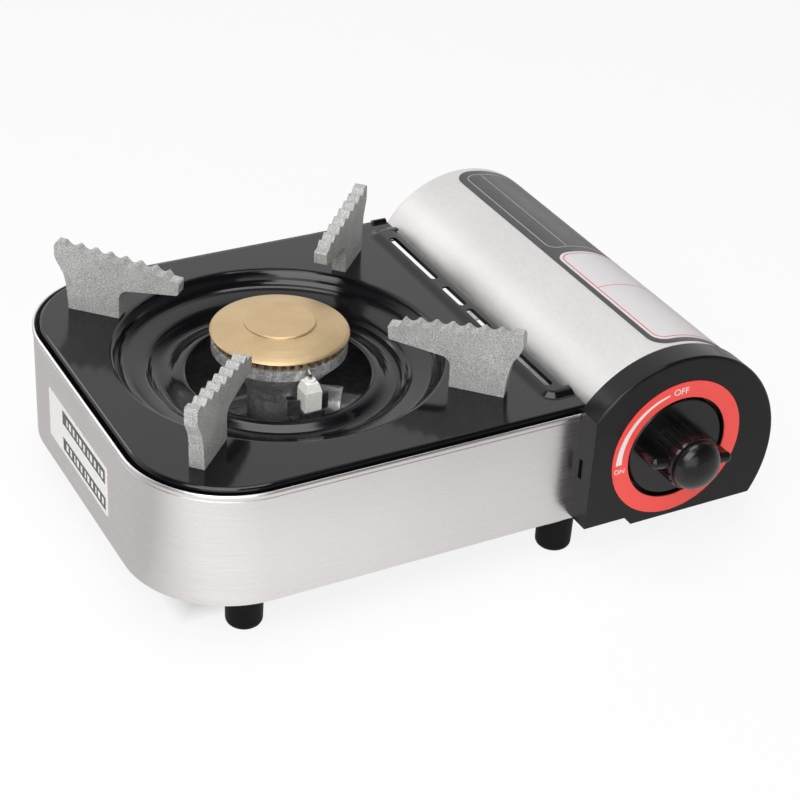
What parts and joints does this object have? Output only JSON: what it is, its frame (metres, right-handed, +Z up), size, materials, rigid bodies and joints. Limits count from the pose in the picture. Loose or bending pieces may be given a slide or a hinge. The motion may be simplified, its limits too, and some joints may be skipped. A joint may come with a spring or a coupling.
{
  "type": "butane cassette stove",
  "caption": "Tabletop gas stove: square enamelled top with a brass-capped burner and cast pan supports, a covered bay for a lying butane cartridge, and a dial with a winged knob.",
  "frame": {"origin": "on the surface the stove stands on, under the middle of its bounding box at rest", "axes": "+Z up, +Y to the rear, +X to the right as the user faces the knob, towards the cartridge bay"},
  "size_m": [0.2692, 0.2198, 0.0998],
  "materials": {
    "brushed_stainless": "fine straight brushing, satin",
    "black_enamel": "smooth gloss black enamel",
    "plain_steel": "plain zinc-coated sheet",
    "cast_alloy": "shot-blasted casting, grainy",
    "die_cast": "as die-cast",
    "brass": "satin turned brass",
    "dark_steel": "dark coated steel",
    "screw_steel": "zinc-plated",
    "white_ceramic": "unglazed white ceramic",
    "ferrite": "dark sintered ferrite",
    "black_rubber": "matte",
    "white_silicone": "soft insulated lead",
    "panel_black": "satin black moulding",
    "knob_black": "gloss black moulding",
    "dial_red": "red printed ring",
    "inner_white_plastic": "natural white moulding",
    "inner_black_plastic": "black moulding"
  },
  "bodies": {
    "stove_body": {"side_wall": "brushed_stainless", "base_pan": "dark_steel", "top_plate": "black_enamel", "bay_tray": "plain_steel", "valve_plate": "plain_steel", "pan_support_rear_left": "cast_alloy", "pan_support_rear_right": "cast_alloy", "pan_support_front_right": "cast_alloy", "pan_support_front_left": "cast_alloy", "pan_support_screws": "screw_steel", "burner_cap": "brass", "burner_head": "die_cast", "mixing_tube": "plain_steel", "air_shutter": "plain_steel", "burner_bracket": "dark_steel", "burner_screws": "screw_steel", "gas_nozzle": "brass", "gas_governor": "die_cast", "governor_cover": "plain_steel", "governor_screws": "screw_steel", "cartridge_seal": "black_rubber", "lock_magnet": "ferrite", "locating_plate": "plain_steel", "cartridge_saddle": "plain_steel", "igniter_ceramic": "white_ceramic", "igniter_electrode": "screw_steel", "igniter_bracket": "dark_steel", "ignition_lead": "white_silicone", "piezo_igniter": "inner_black_plastic", "control_panel": "panel_black", "dial_ring": "dial_red", "panel_screws": "screw_steel", "hinge_pin_front": "screw_steel", "hinge_pin_rear": "screw_steel", "hinge_bracket_rear": "plain_steel", "foot_front_left": "black_rubber", "foot_front_right": "black_rubber", "foot_rear_left": "black_rubber", "foot_rear_right": "black_rubber", "foot_screws": "screw_steel"},
    "knob": {"control_knob": "knob_black", "valve_spindle": "screw_steel", "ignition_cam": "inner_white_plastic"},
    "piezo_plunger": {"piezo_plunger": "inner_white_plastic"},
    "lid": {"cartridge_lid": "brushed_stainless"}
  },
  "joints": [
    {"name": "knob_turn", "type": "hinge", "parent": "stove_body", "child": "knob", "pos_m": [0.0845, -0.0884, 0.0492], "axis": [0, -1, 0], "range_deg": [0, 96]},
    {"name": "plunger_press", "type": "slide", "parent": "stove_body", "child": "piezo_plunger", "axis": [0, 1, 0], "range_m": [0, 0.0026]},
    {"name": "lid_hinge", "type": "hinge", "parent": "stove_body", "child": "lid", "pos_m": [0.1263, 0.0151, 0.0325], "axis": [0, 1, 0], "range_deg": [0, 100]}
  ],
  "couplings": [
    {"joint": "plunger_press", "follows": "knob_turn", "m_per_rad": 0.001492}
  ]
}
